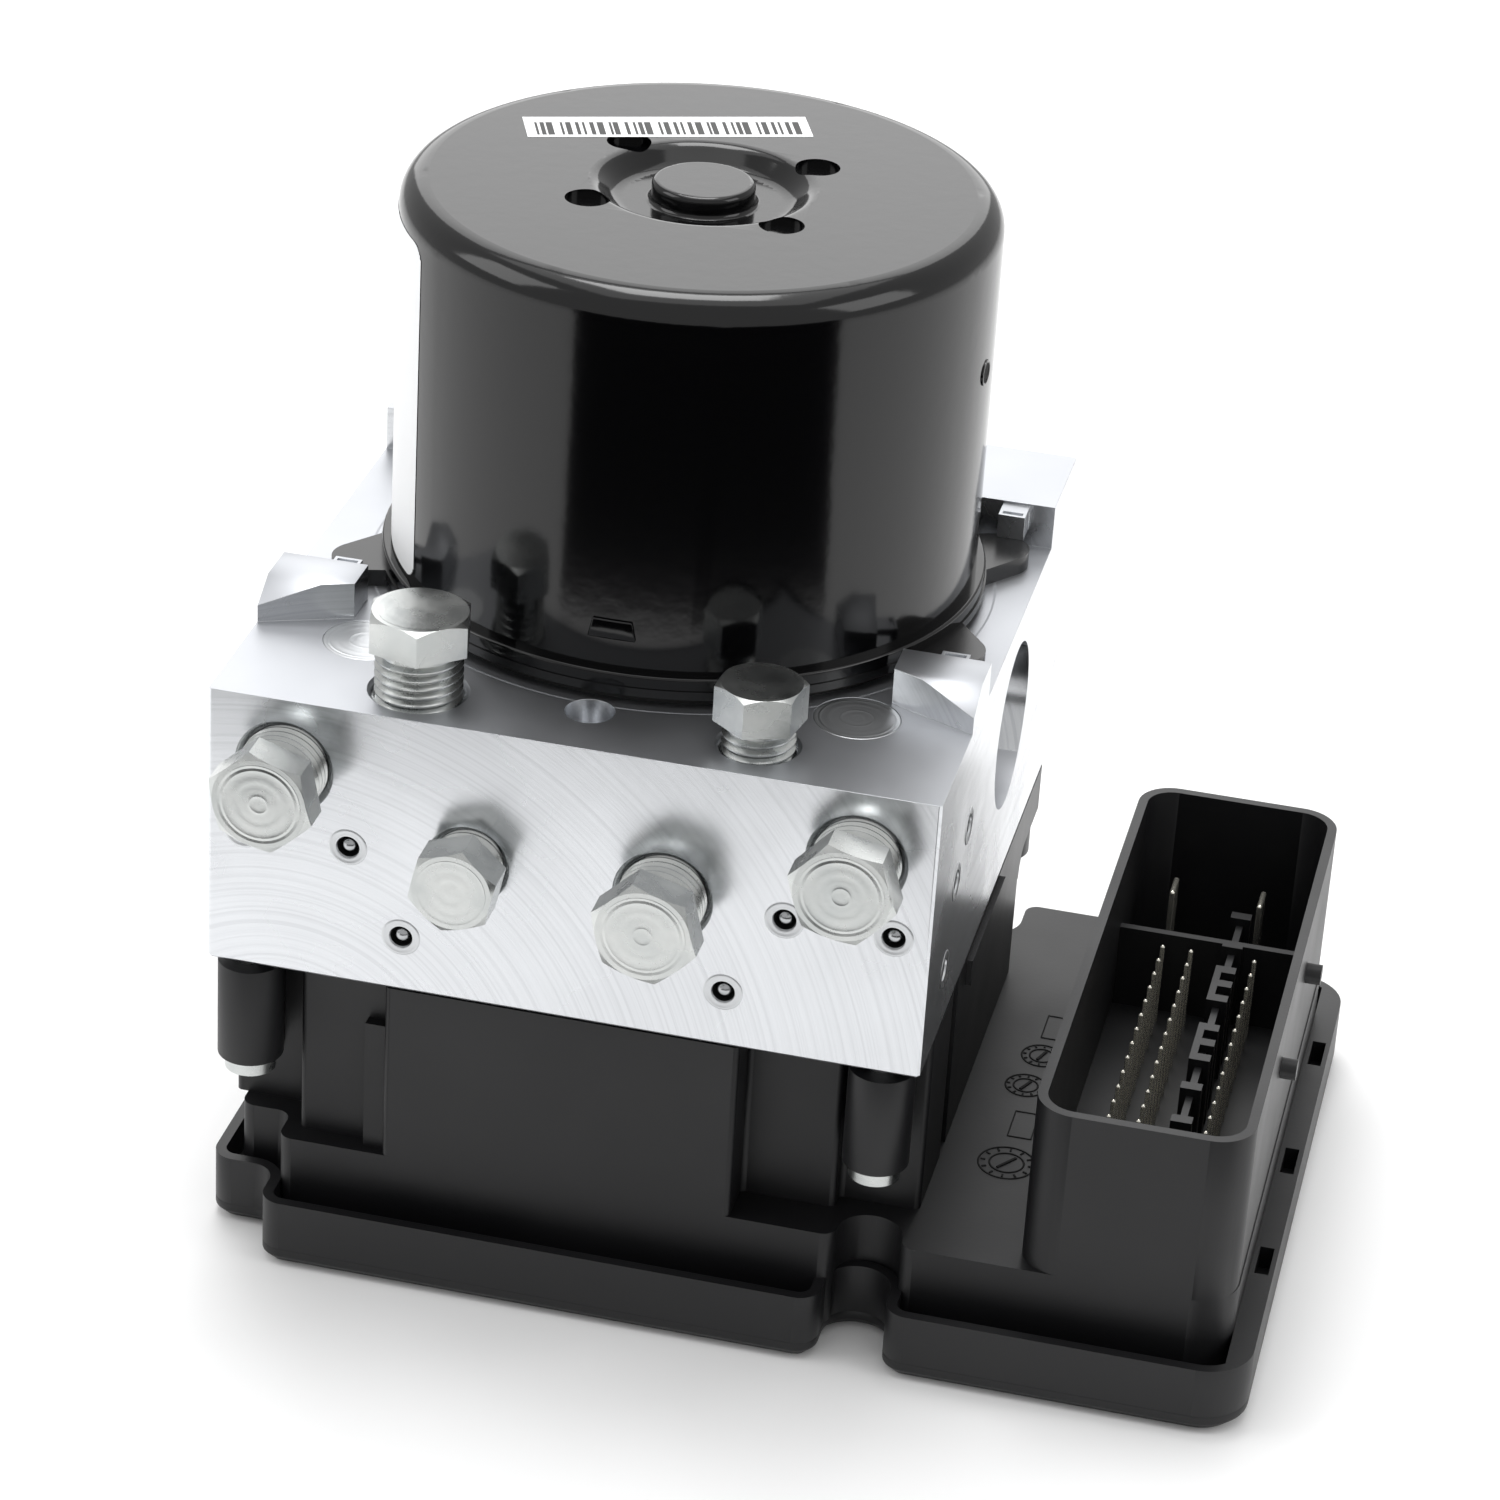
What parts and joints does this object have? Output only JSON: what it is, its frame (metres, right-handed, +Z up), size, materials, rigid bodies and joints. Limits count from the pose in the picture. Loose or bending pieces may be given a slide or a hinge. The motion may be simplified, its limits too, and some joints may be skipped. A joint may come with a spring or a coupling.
{
  "type": "brake modulator",
  "caption": "Brake modulator: milled valve block with plugged line ports, cylindrical pump motor on top and a moulded control unit with its plug socket underneath.",
  "frame": {"origin": "where the pump motor's axis meets the flat underside of the control unit's cover", "axes": "+Z up along the motor's axis, +X towards the plug socket's side, -Y is the side with the line ports"},
  "size_m": [0.15, 0.1158, 0.147],
  "materials": {
    "milled_aluminium": "milled, bright",
    "zinc_plated_steel": "zinc plated",
    "bright_steel": "ground",
    "spring_steel": "drawn wire",
    "black_lacquer": "gloss black",
    "flange_plastic": "satin black",
    "control_unit_plastic": "satin black, glass filled",
    "black_rubber": "matte",
    "ferrite": "sintered, dull",
    "lamination_steel": "stacked sheet",
    "copper": "enamelled copper",
    "tinned_contact": "tinned",
    "carbon": "pressed carbon",
    "board_green": "solder mask",
    "coil_plastic": "moulded over copper"
  },
  "bodies": {
    "modulator": {"valve_block": "milled_aluminium", "m12_port_plugs": "zinc_plated_steel", "m10_port_plugs": "zinc_plated_steel", "closing_discs": "milled_aluminium", "ball_plugs": "bright_steel", "pump_cylinder_left": "bright_steel", "pump_cylinder_right": "bright_steel", "pump_cap_left": "milled_aluminium", "pump_cap_right": "milled_aluminium", "pump_spring_left": "spring_steel", "pump_spring_right": "spring_steel", "accumulator_cap_left": "zinc_plated_steel", "accumulator_cap_right": "zinc_plated_steel", "accumulator_spring_left": "spring_steel", "accumulator_spring_right": "spring_steel", "valve_bodies": "bright_steel", "valve_coils": "coil_plastic", "brush_plate": "flange_plastic", "motor_leads": "tinned_contact", "motor_can": "black_lacquer", "motor_seal": "black_rubber", "motor_magnets": "ferrite", "front_bearing": "bright_steel", "rear_bearing": "bright_steel", "brush_spring_left": "spring_steel", "brush_spring_right": "spring_steel", "ecu_housing": "control_unit_plastic", "ecu_cover": "control_unit_plastic", "tower_seal": "black_rubber", "circuit_board": "board_green", "connector_pins": "tinned_contact", "power_blades": "tinned_contact", "unit_screws": "zinc_plated_steel"},
    "rotor": {"rotor_shaft": "bright_steel", "eccentric_ring": "bright_steel", "rotor_core": "lamination_steel", "rotor_winding": "copper", "commutator": "copper"},
    "pump_piston_left_body": {"pump_piston_left": "bright_steel"},
    "pump_piston_right_body": {"pump_piston_right": "bright_steel"},
    "accumulator_piston_left_body": {"accumulator_piston_left": "milled_aluminium"},
    "accumulator_piston_right_body": {"accumulator_piston_right": "milled_aluminium"},
    "brush_left_body": {"brush_left": "carbon"},
    "brush_right_body": {"brush_right": "carbon"},
    "inlet_plunger_1_body": {"inlet_plunger_1": "bright_steel"},
    "inlet_plunger_2_body": {"inlet_plunger_2": "bright_steel"},
    "inlet_plunger_3_body": {"inlet_plunger_3": "bright_steel"},
    "inlet_plunger_4_body": {"inlet_plunger_4": "bright_steel"},
    "outlet_plunger_1_body": {"outlet_plunger_1": "bright_steel"},
    "outlet_plunger_2_body": {"outlet_plunger_2": "bright_steel"},
    "outlet_plunger_3_body": {"outlet_plunger_3": "bright_steel"},
    "outlet_plunger_4_body": {"outlet_plunger_4": "bright_steel"}
  },
  "joints": [
    {"name": "rotor_spin", "type": "hinge", "parent": "modulator", "child": "rotor", "pos_m": [0, 0, 0.12], "axis": [0, 0, 1], "continuous": true},
    {"name": "pump_stroke_left", "type": "slide", "parent": "modulator", "child": "pump_piston_left_body", "axis": [1, 0, 0], "range_m": [0, 0.0009], "stiffness_N_per_m": 800, "deforming": ["pump_spring_left"]},
    {"name": "pump_stroke_right", "type": "slide", "parent": "modulator", "child": "pump_piston_right_body", "axis": [-1, 0, 0], "range_m": [0, 0.0009], "stiffness_N_per_m": 800, "deforming": ["pump_spring_right"]},
    {"name": "accumulator_stroke_left", "type": "slide", "parent": "modulator", "child": "accumulator_piston_left_body", "axis": [0, 1, 0], "range_m": [0, 0.009], "stiffness_N_per_m": 1500, "springref_m": -0.004, "deforming": ["accumulator_spring_left"]},
    {"name": "accumulator_stroke_right", "type": "slide", "parent": "modulator", "child": "accumulator_piston_right_body", "axis": [0, 1, 0], "range_m": [0, 0.009], "stiffness_N_per_m": 1500, "springref_m": -0.004, "deforming": ["accumulator_spring_right"]},
    {"name": "brush_travel_left", "type": "slide", "parent": "modulator", "child": "brush_left_body", "axis": [-1, 0, 0], "range_m": [0, 0.002], "stiffness_N_per_m": 400, "springref_m": -0.004, "deforming": ["brush_spring_left"]},
    {"name": "brush_travel_right", "type": "slide", "parent": "modulator", "child": "brush_right_body", "axis": [1, 0, 0], "range_m": [0, 0.002], "stiffness_N_per_m": 400, "springref_m": -0.004, "deforming": ["brush_spring_right"]},
    {"name": "inlet_valve_1", "type": "slide", "parent": "modulator", "child": "inlet_plunger_1_body", "axis": [0, 0, 1], "range_m": [0, 0.0004], "stiffness_N_per_m": 1000, "springref_m": -0.001},
    {"name": "inlet_valve_2", "type": "slide", "parent": "modulator", "child": "inlet_plunger_2_body", "axis": [0, 0, 1], "range_m": [0, 0.0004], "stiffness_N_per_m": 1000, "springref_m": -0.001},
    {"name": "inlet_valve_3", "type": "slide", "parent": "modulator", "child": "inlet_plunger_3_body", "axis": [0, 0, 1], "range_m": [0, 0.0004], "stiffness_N_per_m": 1000, "springref_m": -0.001},
    {"name": "inlet_valve_4", "type": "slide", "parent": "modulator", "child": "inlet_plunger_4_body", "axis": [0, 0, 1], "range_m": [0, 0.0004], "stiffness_N_per_m": 1000, "springref_m": -0.001},
    {"name": "outlet_valve_1", "type": "slide", "parent": "modulator", "child": "outlet_plunger_1_body", "axis": [0, 0, -1], "range_m": [0, 0.0004], "stiffness_N_per_m": 1000, "springref_m": -0.001},
    {"name": "outlet_valve_2", "type": "slide", "parent": "modulator", "child": "outlet_plunger_2_body", "axis": [0, 0, -1], "range_m": [0, 0.0004], "stiffness_N_per_m": 1000, "springref_m": -0.001},
    {"name": "outlet_valve_3", "type": "slide", "parent": "modulator", "child": "outlet_plunger_3_body", "axis": [0, 0, -1], "range_m": [0, 0.0004], "stiffness_N_per_m": 1000, "springref_m": -0.001},
    {"name": "outlet_valve_4", "type": "slide", "parent": "modulator", "child": "outlet_plunger_4_body", "axis": [0, 0, -1], "range_m": [0, 0.0004], "stiffness_N_per_m": 1000, "springref_m": -0.001}
  ]
}
